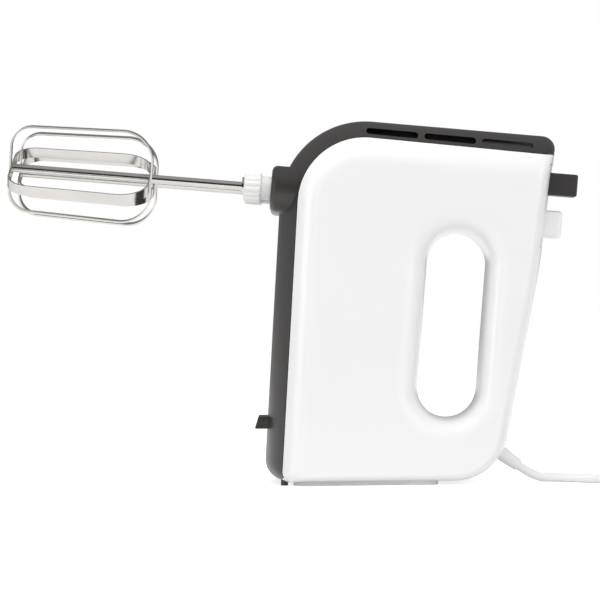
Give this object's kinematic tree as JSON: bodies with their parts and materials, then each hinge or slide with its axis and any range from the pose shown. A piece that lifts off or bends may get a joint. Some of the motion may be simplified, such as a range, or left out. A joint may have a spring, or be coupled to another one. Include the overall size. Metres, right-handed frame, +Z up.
{
  "type": "hand mixer",
  "caption": "Corded hand mixer standing on its heel: white half shells with a dark band and an open grip, strip beaters, slide knob, push button and a coiled cord.",
  "frame": {"origin": "centre of the heel pad's resting face", "axes": "+Z up, beaters towards -X and cord towards +X, +Y across the head away from the picture's viewer"},
  "size_m": [0.4737, 0.0909, 0.2021],
  "materials": {
    "white_shell": "gloss",
    "dark_plastic": "satin",
    "foot_rubber": "matte",
    "polished_steel": "polished",
    "white_collar": "satin",
    "white_cord": "satin",
    "white_rubber": "satin",
    "tie_plastic": "satin",
    "pin_brass": "polished",
    "frame_metal": "as cast",
    "bush_bronze": "sintered",
    "dark_steel": "ground",
    "lamination": "stacked sheets",
    "copper": "enamelled",
    "carbon": "matte",
    "gear_nylon": "satin",
    "inner_plastic": "satin",
    "board": "satin"
  },
  "bodies": {
    "housing": {"housing_near": "white_shell", "housing_far": "white_shell", "front_band": "dark_plastic", "socket_collar": "dark_plastic", "ledge_bar": "dark_plastic", "heel_nubs": "dark_plastic", "heel_pad": "foot_rubber", "control_panel": "white_shell", "housing_screws": "dark_steel", "gear_frame": "frame_metal", "spindle_bushes": "bush_bronze", "motor_bearings": "bush_bronze", "stator_core": "lamination", "stator_coils": "copper", "rear_bracket": "frame_metal", "brush_holders": "bush_bronze", "carbon_brushes": "carbon", "brush_springs": "dark_steel", "eject_spring": "dark_steel", "speed_switch": "inner_plastic", "turbo_switch": "inner_plastic", "turbo_spring": "dark_steel", "circuit_board": "board", "filter_capacitor": "inner_plastic", "cord_clamp": "inner_plastic", "cord_guard": "white_rubber", "inner_lead": "white_cord", "cord_free": "white_cord", "cord_coil": "white_cord", "cord_tail": "white_cord", "cord_tie": "tie_plastic", "plug_body": "white_rubber", "plug_pins": "pin_brass"},
    "motor": {"motor_shaft": "dark_steel", "worm": "dark_steel", "armature_core": "lamination", "armature_winding": "copper", "commutator": "copper", "cooling_fan": "inner_plastic"},
    "selector_carriage": {"selector_carriage": "inner_plastic"},
    "selector_knob": {"selector_knob": "dark_plastic"},
    "eject_yoke": {"eject_yoke": "inner_plastic"},
    "turbo_button": {"turbo_button": "white_shell"},
    "spindle_front": {"spindle_front": "dark_steel", "worm_wheel_front": "gear_nylon"},
    "eject_pin_front": {"eject_pin_front": "dark_steel"},
    "beater_front": {"beater_rod_front": "polished_steel", "beater_strips_front": "polished_steel", "beater_flange_front": "polished_steel", "beater_collar_front": "white_collar"},
    "spindle_rear": {"spindle_rear": "dark_steel", "worm_wheel_rear": "gear_nylon"},
    "eject_pin_rear": {"eject_pin_rear": "dark_steel"},
    "beater_rear": {"beater_rod_rear": "polished_steel", "beater_strips_rear": "polished_steel", "beater_flange_rear": "polished_steel", "beater_collar_rear": "white_collar"}
  },
  "joints": [
    {"name": "motor_spin", "type": "hinge", "parent": "housing", "child": "motor", "pos_m": [-0.006, 0, 0.1595], "axis": [0.0802, 0, 0.9968], "continuous": true},
    {"name": "speed_select", "type": "slide", "parent": "housing", "child": "selector_carriage", "axis": [0, 1, 0], "range_m": [0, 0.012]},
    {"name": "eject_press", "type": "slide", "parent": "selector_carriage", "child": "selector_knob", "axis": [-0.9968, 0, 0.0802], "range_m": [0, 0.006], "stiffness_N_per_m": 600, "springref_m": -0.002},
    {"name": "eject_yoke_slide", "type": "slide", "parent": "housing", "child": "eject_yoke", "axis": [-0.9968, 0, 0.0802], "range_m": [0, 0.006], "deforming": ["eject_spring"]},
    {"name": "turbo_press", "type": "slide", "parent": "housing", "child": "turbo_button", "axis": [-0.9968, 0, 0.0802], "range_m": [0, 0.003], "stiffness_N_per_m": 400, "springref_m": -0.001, "deforming": ["turbo_spring"]},
    {"name": "spindle_front_spin", "type": "hinge", "parent": "housing", "child": "spindle_front", "pos_m": [-0.006, -0.022, 0.1595], "axis": [0.9968, 0, -0.0802], "continuous": true},
    {"name": "eject_pin_front_slide", "type": "slide", "parent": "spindle_front", "child": "eject_pin_front", "axis": [-0.9968, 0, 0.0802], "range_m": [0, 0.006]},
    {"name": "beater_front_pull", "type": "slide", "parent": "eject_pin_front", "child": "beater_front", "axis": [-0.9968, 0, 0.0802], "range_m": [0, 0.036]},
    {"name": "spindle_rear_spin", "type": "hinge", "parent": "housing", "child": "spindle_rear", "pos_m": [-0.006, 0.022, 0.1595], "axis": [0.9968, 0, -0.0802], "continuous": true},
    {"name": "eject_pin_rear_slide", "type": "slide", "parent": "spindle_rear", "child": "eject_pin_rear", "axis": [-0.9968, 0, 0.0802], "range_m": [0, 0.006]},
    {"name": "beater_rear_pull", "type": "slide", "parent": "eject_pin_rear", "child": "beater_rear", "axis": [-0.9968, 0, 0.0802], "range_m": [0, 0.036]}
  ],
  "couplings": [
    {"joint": "eject_yoke_slide", "follows": "eject_press", "ratio": 1},
    {"joint": "spindle_front_spin", "follows": "motor_spin", "ratio": -0.076923},
    {"joint": "eject_pin_front_slide", "follows": "eject_press", "ratio": 1},
    {"joint": "spindle_rear_spin", "follows": "motor_spin", "ratio": 0.076923},
    {"joint": "eject_pin_rear_slide", "follows": "eject_press", "ratio": 1}
  ]
}
